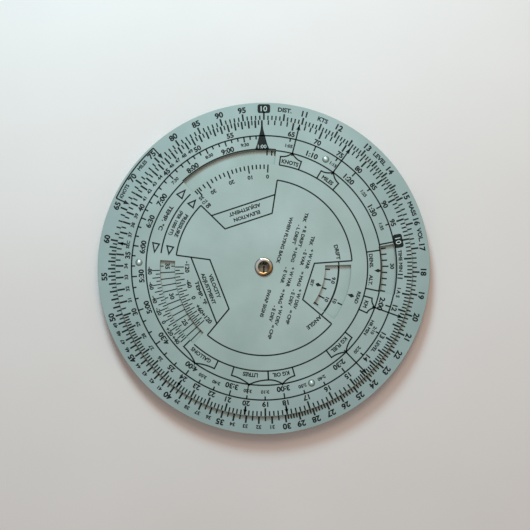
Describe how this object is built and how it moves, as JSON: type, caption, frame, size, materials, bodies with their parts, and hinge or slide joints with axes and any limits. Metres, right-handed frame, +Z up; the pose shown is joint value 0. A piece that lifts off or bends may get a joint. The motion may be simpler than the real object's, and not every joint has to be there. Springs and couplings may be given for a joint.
{
  "type": "flight computer",
  "caption": "Round metal E6B flight computer: a circular slide rule with index windows turns on one face, and a wind slide runs behind a turning azimuth window on the other.",
  "frame": {"origin": "middle of the lowest face, which is the underside of the azimuth bezel, on the pivot's axis", "axes": "+Z up through the pivot, out of the computer face; +Y towards the top of the dial, where the outer scale's index 10 is; +X to the right seen from above"},
  "size_m": [0.14, 0.14, 0.0071],
  "materials": {
    "dial_paint": "satin pale green-grey enamel with dark green-black printed scales",
    "aluminium": "fine brushed, clear anodised",
    "eyelet_nickel": "bright nickel plate",
    "screw_steel": "plain bright steel",
    "window_plastic": "clear with a lightly frosted writing face",
    "nylon": "natural nylon"
  },
  "bodies": {
    "frame": {"base_plate": "dial_paint", "disc_washer": "nylon", "pivot_eyelet": "eyelet_nickel", "eyelet_washer": "screw_steel", "rail_left": "aluminium", "rail_right": "aluminium", "slide_spring_left": "screw_steel", "slide_spring_right": "screw_steel", "channel_plate": "aluminium", "back_frame": "dial_paint", "azimuth_bezel": "dial_paint", "frame_screw_1": "screw_steel", "frame_screw_2": "screw_steel", "frame_screw_3": "screw_steel", "frame_screw_4": "screw_steel", "frame_screw_5": "screw_steel", "frame_screw_6": "screw_steel", "frame_screw_7": "screw_steel", "frame_screw_8": "screw_steel", "bezel_screw_1": "screw_steel", "bezel_screw_2": "screw_steel", "bezel_screw_3": "screw_steel", "bezel_screw_4": "screw_steel", "bezel_screw_5": "screw_steel", "bezel_screw_6": "screw_steel"},
    "computer_disc": {"computer_disc": "dial_paint"},
    "azimuth": {"azimuth_ring": "aluminium", "azimuth_window": "window_plastic", "azimuth_grommet": "eyelet_nickel"},
    "wind_slide": {"wind_slide": "aluminium"}
  },
  "joints": [
    {"name": "disc_turn", "type": "hinge", "parent": "frame", "child": "computer_disc", "pos_m": [0, 0, 0.0059], "axis": [0, 0, 1], "continuous": true},
    {"name": "azimuth_turn", "type": "hinge", "parent": "frame", "child": "azimuth", "pos_m": [0, 0, 0.0014], "axis": [0, 0, 1], "continuous": true},
    {"name": "slide_travel", "type": "slide", "parent": "frame", "child": "wind_slide", "axis": [0, 1, 0], "range_m": [-0.06, 0.06]}
  ]
}
